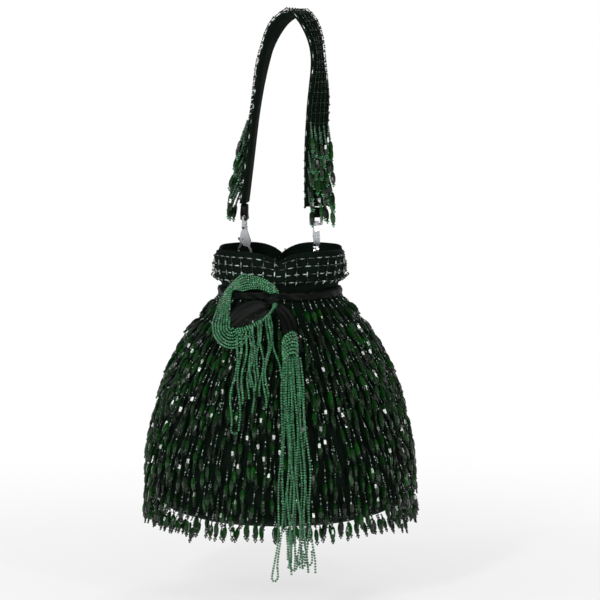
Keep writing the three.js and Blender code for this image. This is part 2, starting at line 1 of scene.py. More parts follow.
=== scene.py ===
import math

import bmesh
import bpy
import numpy as np
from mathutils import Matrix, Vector


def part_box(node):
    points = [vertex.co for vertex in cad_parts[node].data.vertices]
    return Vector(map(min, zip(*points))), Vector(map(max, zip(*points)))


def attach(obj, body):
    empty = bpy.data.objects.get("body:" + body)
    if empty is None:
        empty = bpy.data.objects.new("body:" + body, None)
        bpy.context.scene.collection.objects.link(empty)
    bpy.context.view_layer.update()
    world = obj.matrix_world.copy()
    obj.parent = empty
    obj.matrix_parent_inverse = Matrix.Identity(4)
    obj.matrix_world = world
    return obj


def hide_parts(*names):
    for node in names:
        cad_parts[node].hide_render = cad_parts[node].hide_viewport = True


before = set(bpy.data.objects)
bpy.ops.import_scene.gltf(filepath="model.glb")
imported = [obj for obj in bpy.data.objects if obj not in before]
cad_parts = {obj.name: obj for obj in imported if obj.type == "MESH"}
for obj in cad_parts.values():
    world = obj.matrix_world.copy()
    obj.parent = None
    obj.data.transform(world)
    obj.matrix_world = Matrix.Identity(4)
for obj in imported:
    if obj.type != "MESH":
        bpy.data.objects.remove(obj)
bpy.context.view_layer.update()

chance = np.random.default_rng(41)

# Camera: the bag is seen from a little above its handle, with its front turned to the lens and the arch of
# the handle turned away by 38 degrees. Lengths in this file are millimetres, and MM turns them into metres.
MM = 0.001
drawstring_low, drawstring_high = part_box("drawstring")
bag_axis_x = (drawstring_low[0] + drawstring_high[0]) / 2 / MM
neck_z = (drawstring_low[2] + drawstring_high[2]) / 2 / MM
front_turn = math.radians(38)
lens_distance = 2400
lens_height = 30
lens_pitch = math.radians(5.98)
picture_half = 300
lens_length = 3077
lens_angle = 2 * math.atan(picture_half / lens_length)
aim_right = 20 / lens_length

camera = bpy.data.objects.new("camera", bpy.data.cameras.new("camera"))
bpy.context.scene.collection.objects.link(camera)
camera.data.angle = lens_angle
camera.data.clip_end = 300
camera.location = (
    (bag_axis_x + lens_distance * math.sin(front_turn)) * MM,
    -lens_distance * math.cos(front_turn) * MM,
    lens_height * MM,
)
camera.rotation_euler = (math.pi / 2 - lens_pitch, 0, front_turn - aim_right)
bpy.context.scene.camera = camera
bpy.context.scene.view_settings.view_transform = "Standard"

# Velvet pouch: a round bag of dark green cut velvet, gathered small at the neck and under the base. The
# bead fringes hide nearly all of it, and it shows between them and underneath.
velvet_line = [
    (44.5, 3), (46.5, -7), (69.5, -36.5), (84.3, -66), (93, -95.5), (99.5, -125), (100.5, -154.5),
    (93, -169.25), (72, -176),
]
velvet_wall = 1.6


def velvet_radius(z):
    heights = [height for _, height in reversed(velvet_line)]
    radii = [radius for radius, _ in reversed(velvet_line)]
    return np.interp(z, heights, radii)


def tone_attribute(mesh, tone):
    layer = mesh.attributes.new("tone", "FLOAT", "POINT")
    layer.data.foreach_set("value", np.asarray(tone, np.float32))


def make_piece(name, points, faces, finish, body, nodes=(), smooth=True, tone=None):
    """A mesh piece from points in millimetres and faces of one corner count."""
    faces = np.asarray(faces, np.int32)
    count, corners = faces.shape
    mesh = bpy.data.meshes.new(name)
    mesh.vertices.add(len(points))
    mesh.vertices.foreach_set("co", (np.asarray(points, float) * MM).ravel())
    mesh.loops.add(count * corners)
    mesh.loops.foreach_set("vertex_index", faces.ravel())
    mesh.polygons.add(count)
    mesh.polygons.foreach_set("loop_start", np.arange(0, count * corners, corners, dtype=np.int32))
    mesh.polygons.foreach_set("use_smooth", np.full(count, smooth))
    mesh.update(calc_edges=True)
    if tone is not None:
        tone_attribute(mesh, tone)
    mesh.materials.append(finish)
    piece = bpy.data.objects.new(name, mesh)
    bpy.context.scene.collection.objects.link(piece)
    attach(piece, body)
    if nodes:
        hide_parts(*nodes)
    return piece


def skin(rings, closed_ends=False):
    """Faces over rings of points that each close on themselves, with the rings joined in a row."""
    rings = np.asarray(rings, float)
    rows, around, _ = rings.shape
    start = np.arange(rows - 1)[:, None] * around
    step = np.arange(around)[None, :]
    after = (step + 1) % around
    quads = np.stack([start + step, start + after, start + around + after, start + around + step], -1)
    quads = quads.reshape(-1, 4)
    points = rings.reshape(-1, 3)
    if closed_ends:
        ends = np.array([rings[0].mean(0), rings[-1].mean(0)])
        low, high = len(points), len(points) + 1
        flat = np.arange(around)
        turn = (flat + 1) % around
        top = (rows - 1) * around
        caps_low = np.stack([np.full(around, low), turn, flat, np.full(around, low)], -1)
        caps_high = np.stack([np.full(around, high), top + flat, top + turn, np.full(around, high)], -1)
        points = np.vstack([points, ends])
        triangles = np.vstack([
            quads[:, [0, 1, 2]], quads[:, [0, 2, 3]], caps_low[:, :3], caps_high[:, :3],
        ])
        return points, triangles
    return points, quads


def group_nodes(name, inputs, outputs):
    """An empty shader group with its sockets, and its two end nodes."""
    group = bpy.data.node_groups.new(name, "ShaderNodeTree")
    for label, kind, value in inputs:
        socket = group.interface.new_socket(label, in_out="INPUT", socket_type=kind)
        socket.default_value = value
    for label, kind in outputs:
        group.interface.new_socket(label, in_out="OUTPUT", socket_type=kind)
    entry = group.nodes.new("NodeGroupInput")
    leave = group.nodes.new("NodeGroupOutput")
    return group, entry, leave


# Cut pile: short fibres in small tufts that lie one way or another, lighter where they catch the light.
cut_pile, pile_in, pile_out = group_nodes(
    "cut_pile",
    [
        ("Deep", "NodeSocketColor", (0.002, 0.006, 0.003, 1)),
        ("Lit", "NodeSocketColor", (0.01, 0.03, 0.015, 1)),
        ("Tuft", "NodeSocketFloat", 900.0), ("Crush", "NodeSocketFloat", 60.0),
    ],
    [("Color", "NodeSocketColor"), ("Rough", "NodeSocketFloat"), ("Height", "NodeSocketFloat")],
)
pile_place = cut_pile.nodes.new("ShaderNodeTexCoord")
pile_fine = cut_pile.nodes.new("ShaderNodeTexNoise")
pile_fine.inputs["Detail"].default_value = 3
pile_crush = cut_pile.nodes.new("ShaderNodeTexNoise")
pile_crush.inputs["Detail"].default_value = 4
pile_blend = cut_pile.nodes.new("ShaderNodeMath")
pile_blend.operation = "MULTIPLY"
pile_mix = cut_pile.nodes.new("ShaderNodeMix")
pile_mix.data_type = "RGBA"
pile_rough = cut_pile.nodes.new("ShaderNodeMapRange")
pile_rough.inputs["To Min"].default_value = 0.95
pile_rough.inputs["To Max"].default_value = 0.7
for source, target in (
    (pile_place.outputs["Object"], pile_fine.inputs["Vector"]),
    (pile_place.outputs["Object"], pile_crush.inputs["Vector"]),
    (pile_in.outputs["Tuft"], pile_fine.inputs["Scale"]),
    (pile_in.outputs["Crush"], pile_crush.inputs["Scale"]),
    (pile_fine.outputs["Fac"], pile_blend.inputs[0]),
    (pile_crush.outputs["Fac"], pile_blend.inputs[1]),
    (pile_in.outputs["Deep"], pile_mix.inputs[6]),
    (pile_in.outputs["Lit"], pile_mix.inputs[7]),
    (pile_blend.outputs[0], pile_mix.inputs[0]),
    (pile_blend.outputs[0], pile_rough.inputs["Value"]),
    (pile_mix.outputs[2], pile_out.inputs["Color"]),
    (pile_rough.outputs["Result"], pile_out.inputs["Rough"]),
    (pile_fine.outputs["Fac"], pile_out.inputs["Height"]),
):
    cut_pile.links.new(source, target)


def patterned(name, group, values, bump, depth, rough=True):
    """A material whose colour, roughness and relief come from a shader group, and its shader."""
    finish = bpy.data.materials.new(name)
    finish.use_nodes = True
    tree = finish.node_tree
    shader = tree.nodes["Principled BSDF"]
    pattern = tree.nodes.new("ShaderNodeGroup")
    pattern.node_tree = group
    for label, value in values.items():
        pattern.inputs[label].default_value = value
    relief = tree.nodes.new("ShaderNodeBump")
    relief.inputs["Strength"].default_value = bump
    relief.inputs["Distance"].default_value = depth
    tree.links.new(pattern.outputs["Color"], shader.inputs["Base Color"])
    if rough:
        tree.links.new(pattern.outputs["Rough"], shader.inputs["Roughness"])
    tree.links.new(pattern.outputs["Height"], relief.inputs["Height"])
    tree.links.new(relief.outputs["Normal"], shader.inputs["Normal"])
    return finish, shader


pile_depth = 0.0006


def cloth_finish(name, deep, lit, tuft, crush, sheen, bump, even_rough=None):
    """Velvet or satin; an even roughness takes the place of the pile's own."""
    finish, shader = patterned(
        name, cut_pile, {"Deep": (*deep, 1), "Lit": (*lit, 1), "Tuft": tuft, "Crush": crush},
        bump, pile_depth, rough=even_rough is None)
    shader.inputs["Sheen Weight"].default_value = sheen
    shader.inputs["Sheen Roughness"].default_value = 0.4
    shader.inputs["Sheen Tint"].default_value = (0.25, 0.6, 0.4, 1)
    shader.inputs["Specular IOR Level"].default_value = 0.07
    if even_rough is not None:
        shader.inputs["Roughness"].default_value = even_rough
    return finish


velvet = cloth_finish("green_velvet", (0.0006, 0.002, 0.001), (0.004, 0.012, 0.007), 1100, 70, 0.02, 0.5)
satin = cloth_finish(
    "black_green_satin", (0.0008, 0.0015, 0.001), (0.003, 0.006, 0.004), 2200, 40, 0.01, 0.2,
    even_rough=0.42,
)

around_fine = 180
turns = np.linspace(0, 2 * math.pi, around_fine, endpoint=False)


def turned_ring(radius, height):
    """One ring round the bag's axis; radius and height may vary by angle."""
    radius = np.broadcast_to(radius, turns.shape)
    height = np.broadcast_to(height, turns.shape)
    return np.stack([
        bag_axis_x + radius * np.cos(turns), radius * np.sin(turns), neck_z + height,
    ], -1)


def gathered_wall(inset, top, base_lift):
    """Rings up one face of the gathered cloth, from the middle of the base to the neck."""
    rings = []
    base_radius, base_z = velvet_line[-1]
    for share in (0.02, 0.2, 0.45, 0.7, 0.9):
        fold = 0.6 * (1 - share) * np.cos(turns * 30)
        rings.append(turned_ring((base_radius - inset) * share, base_z + base_lift + fold * 0.5 - 0.3))
    for height in np.linspace(base_z + base_lift, top, 40):
        gather = 0.5 * math.exp(-abs(height) / 9) * np.cos(turns * 45)
        rings.append(turned_ring(velvet_radius(height - base_lift * 0.3) - inset * 1.25 + gather, height))
    return rings


outer_wall = gathered_wall(0, 3, 0)
inner_wall = gathered_wall(velvet_wall, 3, velvet_wall)
points, faces = skin(outer_wall + inner_wall[::-1], closed_ends=True)
pouch = make_piece("velvet_pouch", points, faces, velvet, "bag", ["bag_shell"])

# Lining: a thin black-green satin bag inside the velvet one, with the same gathers. It is cut a little
# smaller and sewn to the velvet round the neck.
lining_outer = gathered_wall(velvet_wall + 0.3, 2.9, velvet_wall + 0.3)
lining_inner = gathered_wall(velvet_wall + 1.2, 2.9, velvet_wall + 1.2)
points, faces = skin(lining_outer + lining_inner[::-1], closed_ends=True)
lining = make_piece("satin_lining", points, faces, satin, "bag", ["lining"])

# Collar: the velvet above the drawstring, doubled over at its black rim. It opens in four lobes with a
# pinched notch between each two, and small pleats run up it from the gathering.
collar_low, collar_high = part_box("collar")
collar_base = collar_low[2] / MM - neck_z
collar_rise = collar_high[2] / MM - neck_z
collar_flare = [(45.6, 0), (45.9, 0.08), (50.1, 0.2), (52.1, 0.4), (53.3, 0.65), (53.6, 0.85), (53.3, 1)]
collar_wall = 2
notch_turn = math.radians(-54)
lobe_dip = 9
notch_dip = 0.3


def collar_point(angle, share, off):
    """Points on the collar's face by angle and share of its height, a distance off the cloth."""
    lobe = np.abs(np.sin(2 * (angle - notch_turn)))
    radius = np.interp(share, [part for _, part in collar_flare], [wide for wide, _ in collar_flare])
    pinch = lobe_dip * share ** 2 * (1 - lobe) ** 1.4
    pleat = 0.9 * (1 - share) * np.sin(share * math.pi) * np.cos(angle * 16)
    puff = 1.2 * np.sin(share * math.pi) * np.cos(angle * 9 + 1.0) * share
    height = collar_base + share * (collar_rise - collar_base)
    height = height - share ** 2 * notch_dip * (collar_rise - collar_base) * (1 - lobe) ** 2.2
    wide = radius - pinch + pleat + puff + off
    return np.stack([
        bag_axis_x + wide * np.cos(angle), wide * np.sin(angle), neck_z + height + 0 * angle,
    ], -1)


collar_rings = []
for share in np.linspace(0, 0.97, 22):
    collar_rings.append(collar_point(turns, np.full_like(turns, share), 0.0))
for lean in np.linspace(0, math.pi, 7)[1:-1]:
    ring = collar_point(turns, np.full_like(turns, 0.97), -collar_wall / 2 * (1 - math.cos(lean)))
    ring[:, 2] += 1.0 * math.sin(lean)
    collar_rings.append(ring)
for share in np.linspace(0.97, 0, 22):
    collar_rings.append(collar_point(turns, np.full_like(turns, share), -collar_wall))
collar_rings.append(collar_rings[0])
points, faces = skin(collar_rings)
points = points[:-around_fine]
faces = np.where(faces >= len(points), faces - len(points), faces)
collar = make_piece("velvet_collar", points, faces, velvet, "bag", ["collar"])

# Glass beads: a seed bead is a small rounded barrel, a bugle a short cut tube, and a drop a faceted oval.
# Each shape is spun once, then set along its threads.


def spun(profile, sides):
    around = np.linspace(0, 2 * math.pi, sides, endpoint=False)
    rings = [[(r * math.cos(a), r * math.sin(a), z) for a in around] for r, z in profile]
    return skin(rings, closed_ends=True)


seed_length = 1.72
seed_bead = spun([(0.5, -0.76), (0.96, -0.28), (0.96, 0.28), (0.5, 0.76)], 6)
small_seed = spun([(0.32, -0.78), (0.88, 0), (0.32, 0.78)], 5)
bugle = spun([(0.45, -1.8), (0.45, 1.8)], 6)
# A tiny bright bicone, set beside a thread as a painted glint.
painted_glint_bead = spun([(0.06, -0.6), (0.56, 0), (0.06, 0.6)], 4)
drop_bead = spun([(0.5, -4.9), (1.55, -3.4), (2.05, -0.2), (1.6, 3.1), (0.5, 4.9)], 6)


class BeadWork:
    """Beads of one piece, gathered thread by thread."""

    def __init__(self):
        self.points = []
        self.faces = []
        self.tones = []
        self.count = 0

    def string(self, bead, places, axes, tone, scale=1.0, spread=0.16):
        places = np.atleast_2d(places)
        axes = np.atleast_2d(axes)
        axes = axes / np.linalg.norm(axes, axis=1, keepdims=True)
        total = len(places)
        aside = np.where(np.abs(axes[:, 2:3]) > 0.8, [[1.0, 0, 0]], [[0, 0, 1.0]])
        first = np.cross(aside, axes)
        first /= np.linalg.norm(first, axis=1, keepdims=True)
        second = np.cross(axes, first)
        spin = chance.uniform(0, 2 * math.pi, total)[:, None]
        side = first * np.cos(spin) + second * np.sin(spin)
        face = np.cross(axes, side)
        shape, triangles = bead
        size = chance.normal(1, 0.035, total)[:, None, None] * scale
        local = shape[None] * size
        set_out = (places[:, None] + local[..., 0:1] * side[:, None] + local[..., 1:2] * face[:, None]
                   + local[..., 2:3] * axes[:, None])
        offsets = self.count + np.arange(total)[:, None, None] * len(shape)
        self.points.append(set_out.reshape(-1, 3))
        self.faces.append((triangles[None] + offsets).reshape(-1, 3))
        shade = np.clip(chance.normal(tone, spread, total), 0, 1)
        self.tones.append(np.repeat(shade, len(shape)))
        self.count += total * len(shape)

    def thread(self, bead, path, pitch, tone, scale=1.0, wander=0.0):
        """Beads at one pitch along a path of points."""
        places, axes = along(path, pitch)
        if wander:
            places = places + chance.normal(0, wander, places.shape)
        self.string(bead, places, axes, tone, scale)

    def piece(self, name, finish, body, slot, nodes=(), smooth=True):
        return make_piece(name, np.vstack(self.points), np.vstack(self.faces), finish, body, nodes,
                          smooth, np.concatenate(self.tones))


def along(path, pitch):
    """Evenly spaced places and directions on a path of points."""
    path = np.asarray(path, float)
    run = np.concatenate([[0], np.cumsum(np.linalg.norm(np.diff(path, axis=0), axis=1))])
    at = np.arange(pitch / 2, run[-1], pitch)
    places = np.stack([np.interp(at, run, path[:, k]) for k in range(3)], -1)
    ahead = np.stack([np.interp(at + 0.3, run, path[:, k]) for k in range(3)], -1)
    behind = np.stack([np.interp(at - 0.3, run, path[:, k]) for k in range(3)], -1)
    return places, ahead - behind


def smooth_path(points, count=40):
    """A curve through given points, by cubic steps between them."""
    points = np.asarray(points, float)
    ends = np.vstack([2 * points[0] - points[1], points, 2 * points[-1] - points[-2]])
    run = []
    for k in range(1, len(ends) - 2):
        a, b, c, d = ends[k - 1:k + 3]
        t = np.linspace(0, 1, max(2, count // (len(points) - 1)), endpoint=False)[:, None]
        run.append(0.5 * (2 * b + (c - a) * t + (2 * a - 5 * b + 4 * c - d) * t ** 2
                          + (3 * b - a - 3 * c + d) * t ** 3))
    run.append(points[-1:])
    return np.vstack(run)


# Bead tint: every bead is a little darker or clearer than its neighbour, and its gloss changes slightly over
# the glass, as on pressed and tumbled beads.
bead_tint, tint_in, tint_out = group_nodes(
    "bead_tint",
    [
        ("Deep", "NodeSocketColor", (0.001, 0.01, 0.003, 1)),
        ("Clear", "NodeSocketColor", (0.01, 0.08, 0.02, 1)),
    ],
    [("Color", "NodeSocketColor"), ("Rough", "NodeSocketFloat"), ("Height", "NodeSocketFloat")],
)
tint_tone = bead_tint.nodes.new("ShaderNodeAttribute")
tint_tone.attribute_name = "tone"
tint_mix = bead_tint.nodes.new("ShaderNodeMix")
tint_mix.data_type = "RGBA"
tint_place = bead_tint.nodes.new("ShaderNodeTexCoord")
tint_cloud = bead_tint.nodes.new("ShaderNodeTexNoise")
tint_cloud.inputs["Scale"].default_value = 700
tint_rough = bead_tint.nodes.new("ShaderNodeMapRange")
tint_rough.inputs["To Min"].default_value = 0.04
tint_rough.inputs["To Max"].default_value = 0.2
for source, target in (
    (tint_in.outputs["Deep"], tint_mix.inputs[6]),
    (tint_in.outputs["Clear"], tint_mix.inputs[7]),
    (tint_tone.outputs["Fac"], tint_mix.inputs[0]),
    (tint_place.outputs["Object"], tint_cloud.inputs["Vector"]),
    (tint_cloud.outputs["Fac"], tint_rough.inputs["Value"]),
    (tint_mix.outputs[2], tint_out.inputs["Color"]),
    (tint_rough.outputs["Result"], tint_out.inputs["Rough"]),
    (tint_cloud.outputs["Fac"], tint_out.inputs["Height"]),
):
    bead_tint.links.new(source, target)


def bead_finish(name, deep, clear, coat, through, gloss):
    finish, shader = patterned(name, bead_tint, {"Deep": (*deep, 1), "Clear": (*clear, 1)}, 0.08, 0.0003)
    shader.inputs["IOR"].default_value = 1.5
    shader.inputs["Specular IOR Level"].default_value = gloss
    shader.inputs["Coat Weight"].default_value = coat
    shader.inputs["Coat Roughness"].default_value = 0.03
    shader.inputs["Transmission Weight"].default_value = through
    return finish


dark_glass = bead_finish("dark_green_glass", (0.0004, 0.003, 0.001), (0.002, 0.018, 0.004), 0.0, 0.0, 0.25)
drop_glass = bead_finish("faceted_drop_glass", (0.0003, 0.008, 0.0006), (0.004, 0.1, 0.005), 0.0, 0.6, 0.18)
# Bright glass: its light colour is partly the bugles' silver lining and partly a painted glint; on the tiny
# bicones beside the threads it is a painted glint only.
silver_lined_and_glint_glass = bead_finish("silver_lined_glass_and_painted_glints", (0.01, 0.02, 0.016), (0.5, 0.62, 0.56), 0.6, 0.0, 0.6)
tassel_glass = bead_finish(
    "bright_green_seed_glass", (0.001, 0.03, 0.009), (0.024, 0.21, 0.07), 0.5, 0.0, 0.8)

# Fringe rows: short strands of seed beads, each ending in a faceted drop and a tip of three seeds. Each
# strand is stitched to the velvet on its own, and lies over the strands of the row below.
strand_spacing = 6.3
strand_length = 24
last_strand_length = 14
drop_half = 4.9
strand_rise = 4.6
steep_rows = 5
# The count below is of painted glints: tiny bright bicones set beside each strand's thread.
painted_glints = 4
top_lift = 4
widest_z = -154.5
slope_run = 12
thread_off = 1.3
tip_room = 2.2


def hang_radius(z, stitch_z):
    """Where a strand lies: on the slope of the velvet, or straight down from the widest part."""
    if stitch_z > widest_z:
        return velvet_radius(max(z, widest_z))
    return velvet_radius(stitch_z) + (stitch_z - z) * 0.1


def bead_strand(seeds_work, drops_work, glints_work, angle, stitch_z, length, rise, sway):
    """One strand of the body's fringe, from its stitch to the seeds under its drop."""
    fall = hang_radius(stitch_z - slope_run, stitch_z) - hang_radius(stitch_z, stitch_z)
    length = length * slope_run / math.hypot(slope_run, fall)
    stations = []
    for share in np.linspace(0, 1, 7):
        z = stitch_z - length * share
        radius = hang_radius(z, stitch_z) + thread_off + rise * math.sin(share * math.pi / 2)
        turn = angle + sway * share / radius
        stations.append([bag_axis_x + radius * math.cos(turn), radius * math.sin(turn), neck_z + z])
    stations = np.array(stations)
    run = np.concatenate([[0], np.cumsum(np.linalg.norm(np.diff(stations, axis=0), axis=1))])
    total = run[-1]

    def at(distance):
        return np.array([np.interp(distance, run, stations[:, k]) for k in range(3)])

    thread_end = total - 2 * drop_half - tip_room
    path = [at(d) for d in np.linspace(0, thread_end, 6)]
    seeds_work.thread(small_seed, path, seed_length, 0.45)
    outward = np.array([math.cos(angle), math.sin(angle), 0])
    # Painted glints: tiny bright bicones just outside the thread stand for the seeds' sparkles.
    for place in chance.uniform(0.2, 0.95, painted_glints):
        beside_thread = at(thread_end * place) + outward * 0.45
        glints_work.string(painted_glint_bead, beside_thread, [0, 0, 1], chance.uniform(0.1, 0.9))
    lean = at(total) - at(thread_end)
    lean = lean / np.linalg.norm(lean) + chance.normal(0, 0.06, 3)
    lean /= np.linalg.norm(lean)
    heart = at(thread_end) + lean * (drop_half + 0.2)
    drops_work.string(drop_bead, heart, lean, 0.3, spread=0.25)
    tip = heart + lean * (drop_half + 0.4)
    beside = np.array([-math.sin(angle), math.cos(angle), 0])
    seeds_work.string(small_seed, [tip + beside * 0.9, tip - beside * 0.9, tip + lean * 1.4],
                      [lean + beside, lean - beside, beside], 0.35)


for row in range(1, 13):
    node = f"fringe_row_{row:02d}"
    row_low, row_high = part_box(node)
    row_top, row_bottom = row_high[2] / MM - neck_z, row_low[2] / MM - neck_z
    seeds_work, drops_work, glints_work = BeadWork(), BeadWork(), BeadWork()
    lines = [row_top, (row_top + row_bottom) / 2] if row <= steep_rows else [row_top]
    for line, stitch_z in enumerate(lines):
        strands = round(2 * math.pi * (velvet_radius(stitch_z) + 3) / strand_spacing)
        for k in range(strands):
            angle = 2 * math.pi * (k + 0.5 * ((row + line) % 2)) / strands + chance.normal(0, 0.012)
            top_line = row == 1 and line == 0
            length = strand_length * (0.75 if top_line else 1) if row < 12 else last_strand_length
            length = length + chance.uniform(-3.5, 3.5) * (1 if row < 12 else 0.35)
            lift = chance.uniform(-7.5, 5.5) * (1 < row < 12) + top_lift * top_line
            rise = strand_rise + chance.normal(0, 0.5)
            sway = chance.normal(0, 1.1)
            bead_strand(seeds_work, drops_work, glints_work, angle, stitch_z + lift, length, rise, sway)
    seeds_work.piece(f"{node}_seeds", dark_glass, "bag", "glass_beads", [node])
    drops_work.piece(f"{node}_drops", drop_glass, "bag", "glass_beads", [node], smooth=False)
    glints_work.piece(f"{node}_bright_seeds", silver_lined_and_glint_glass, "bag", "glass_beads", [node])

# Collar beads: a net of cut bugles and dark seeds sewn over the velvet in squares. Each line is couched to the
# cloth, so it follows the lobes and the pleats.
net_square = 8.6
net_radius = 52
net_off = 0.8
level_pitch = 7.2
column_pitch = 7.6
net_columns = round(2 * math.pi * net_radius / net_square)
net_levels = [0.22, 0.43, 0.64, 0.85]
collar_seeds = BeadWork()
collar_bugles = BeadWork()


def couched_line(path, pitch):
    """A sewn line: cut bugles with two dark seeds between each two."""
    places, axes = along(path, pitch)
    axes = axes / np.linalg.norm(axes, axis=1, keepdims=True)
    # The bugles' light colour, of widely random brightness, is partly silver lining and partly painted glint.
    collar_bugles.string(bugle, places, axes, 0.3, spread=0.4)
    for step in (0.38, 0.62):
        collar_seeds.string(small_seed, places + axes * pitch * step, axes, 0.4, 0.9)


for level in net_levels:
    ring = np.linspace(0, 2 * math.pi, 400)
    couched_line(collar_point(ring, np.full_like(ring, level), net_off), level_pitch)
for column in range(net_columns):
    angle = 2 * math.pi * column / net_columns
    rise = np.linspace(0.1, 0.9, 40)
    couched_line(collar_point(np.full_like(rise, angle), rise, net_off), column_pitch)
collar_seeds.piece("collar_seed_lines", dark_glass, "bag", "glass_beads")
collar_bugles.piece("collar_bugle_lines", silver_lined_and_glint_glass, "bag", "glass_beads")

# Drawstring: a flat black-green satin ribbon in a channel under the collar. It is drawn tight round the
# neck, so that it crumples and wrinkles.
ribbon_height = (drawstring_high[2] - drawstring_low[2]) / MM
ribbon_radius = float(velvet_radius(-ribbon_height / 2)) + 0.3
ribbon_crush = 0.72
ribbon_sink = 1.2
ribbon_rings = []
ribbon_section = [(0.2, -1), (1.4, -1), (2.0, -0.6), (1.7, -0.2), (2.1, 0.2), (2.0, 0.6), (1.4, 1), (0.2, 1)]
for off, level in ribbon_section + ribbon_section[:1]:
    wrinkle = 0.45 * np.sin(turns * 23 + level * 2.5) + 0.35 * np.sin(turns * 41 + level * 5)
    drift = 0.5 * np.sin(turns * 5 + 1)
    height = level * ribbon_height / 2 * ribbon_crush - ribbon_sink + drift
    ribbon_rings.append(turned_ring(ribbon_radius + off + (wrinkle if off > 1 else 0), height))
points, faces = skin(ribbon_rings)
points = points[:-around_fine]
faces = np.where(faces >= len(points), faces - len(points), faces)
drawstring = make_piece("satin_drawstring", points, faces, satin, "bag", ["drawstring"])

# Front of the bag: the knot, tails and tassels are placed by how far they lie across the front and above the
# drawstring's level. They lie on the beads below it and on the collar above it.
front_right = np.array([math.cos(front_turn), math.sin(front_turn), 0])
front_out = np.array([math.sin(front_turn), -math.cos(front_turn), 0])
bead_proud = 7.5
ribbon_outer = ribbon_radius + 2.4


def on_front(across, z, off):
    """A point in front of the bag, a distance off its beads, drawstring or collar."""
    if z < -ribbon_height / 2:
        radius = velvet_radius(max(z, widest_z)) + bead_proud
    else:
        share = (z + 3 - collar_base) / (collar_rise - collar_base)
        over_collar = np.interp(share, [part for _, part in collar_flare], [wide for wide, _ in collar_flare])
        radius = max(ribbon_outer, over_collar + 0.9 if share > 0 else 0)
    radius = radius + off
    depth = math.sqrt(max(0.0, radius ** 2 - across ** 2))
    return np.array([bag_axis_x, 0, neck_z + z]) + front_right * across + front_out * depth


def ribbon_piece(name, stations, off, nodes, folds, thick=1.6):
    """A folded ribbon lying down the front: each station is across, z and half its width."""
    rings = []
    for k, (across, z, half) in enumerate(stations):
        here = on_front(across, z, off)
        before = on_front(*stations[max(0, k - 1)][:2], off)
        after = on_front(*stations[min(len(stations) - 1, k + 1)][:2], off)
        run = (after - before) / np.linalg.norm(after - before)
        outward = here - np.array([bag_axis_x, 0, here[2]])
        outward = outward / np.linalg.norm(outward)
        side = np.cross(run, outward)
        side /= np.linalg.norm(side)
        face = np.cross(side, run)
        ring = []
        for turned, shares in ((1, np.linspace(-1, 1, 13)), (-1, np.linspace(1, -1, 13)[1:-1])):
            for share in shares:
                wave = 0.5 * math.sin(share * folds * math.pi + k * 0.4)
                off_middle = turned * thick / 2 * math.sqrt(max(0.05, 1 - share ** 4)) + wave
                ring.append(here + side * share * half + face * off_middle)
        rings.append(ring)
    points, triangles = skin(rings, closed_ends=True)
    return make_piece(name, points, triangles, satin, "bag", nodes)


def spaced(stations, count):
    stations = np.asarray(stations, float)
    return [tuple(row) for row in smooth_path(stations, count)]


# Knot and tails: the ribbon is tied at the front notch. Its right end runs flat into the long tassel's head,
# and its left end spreads inside the loop of the left tassel.
knot_low, knot_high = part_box("drawstring_knot")
knot_middle = (np.array(knot_low) + np.array(knot_high)) / 2 / MM
knot_across, knot_deep, knot_tall = 6.2, 4.0, 5.3
knot_rings = []
for lean in np.linspace(0.12, math.pi - 0.12, 18):
    ring = []
    for turn in np.linspace(0, 2 * math.pi, 28, endpoint=False):
        crease = 1 + 0.07 * math.sin(3 * lean + 4 * turn) + 0.05 * math.sin(7 * turn)
        ring.append(knot_middle + crease * (
            front_right * knot_across * math.cos(lean) + front_out * knot_deep * math.sin(lean) * math.cos(turn)
            + np.array([0, 0, knot_tall]) * math.sin(lean) * math.sin(turn)))
    knot_rings.append(ring)
points, faces = skin(knot_rings, closed_ends=True)
make_piece("satin_knot", points, faces, satin, "bag", ["drawstring_knot"])

head_height = 20
head_radius = 6.8
head_place = (7.5, -37)
tassel_off = 5.5
tail_lying = 0.6
right_tail = ribbon_piece("ribbon_tail_right", spaced([
    (-1, -7, 4.0), (4, -13, 5.5), (6.5, -20, 6.3), (7.5, -26.2, 5.5)], 14), tassel_off - 1, ["tail_right"], 3)
left_tail = ribbon_piece("ribbon_tail_left", spaced([
    (-9, -9, 4), (-17, -11, 8.5), (-27, -14.5, 9), (-35, -19, 7), (-40, -22.5, 5),
], 14), tail_lying, ["tail_left"], 2)

# Right tassel's head: fat seed beads on a thread, wound in slanting rounds over the ribbon's end and the tops
# of the strands, round a small satin core.
across, z = head_place
radius = head_radius
top_point = on_front(across, z + head_height / 2, radius + 0.6)
low_point = on_front(across, z - head_height / 2, radius + 0.6)
run = low_point - top_point
length = np.linalg.norm(run)
run = run / length
first = np.cross(run, front_out)
first /= np.linalg.norm(first)
second = np.cross(run, first)
wound_rounds = 7
round_slant = 3.2
core_radius = radius - 2.2


def barrel(share):
    return 0.66 + 0.34 * max(0, math.sin(share * math.pi)) ** 0.6


core = []
for share in np.linspace(0.03, 0.6, 7):
    wide = core_radius * barrel(share)
    core.append([top_point + run * length * share + (first * math.cos(t) + second * math.sin(t)) * wide
                 for t in np.linspace(0, 2 * math.pi, 20, endpoint=False)])
points, faces = skin(core, closed_ends=True)
make_piece("wound_core", points, faces, satin, "bag")
wound = BeadWork()
for k in range(wound_rounds):
    down = round_slant + (length - 2 * round_slant) * k / (wound_rounds - 1)
    coil = []
    for turn in np.linspace(0, 2 * math.pi, 41):
        here = down + round_slant * math.cos(turn - 0.7)
        side = first * math.cos(turn) + second * math.sin(turn)
        coil.append(top_point + run * here + side * (radius - 1.1) * barrel(here / length))
    wound.thread(seed_bead, coil, 2.1, 0.5, 1.25)
wound.piece("wound_head_right", tassel_glass, "bag", "bright_beads", ["tassel_head_right"])

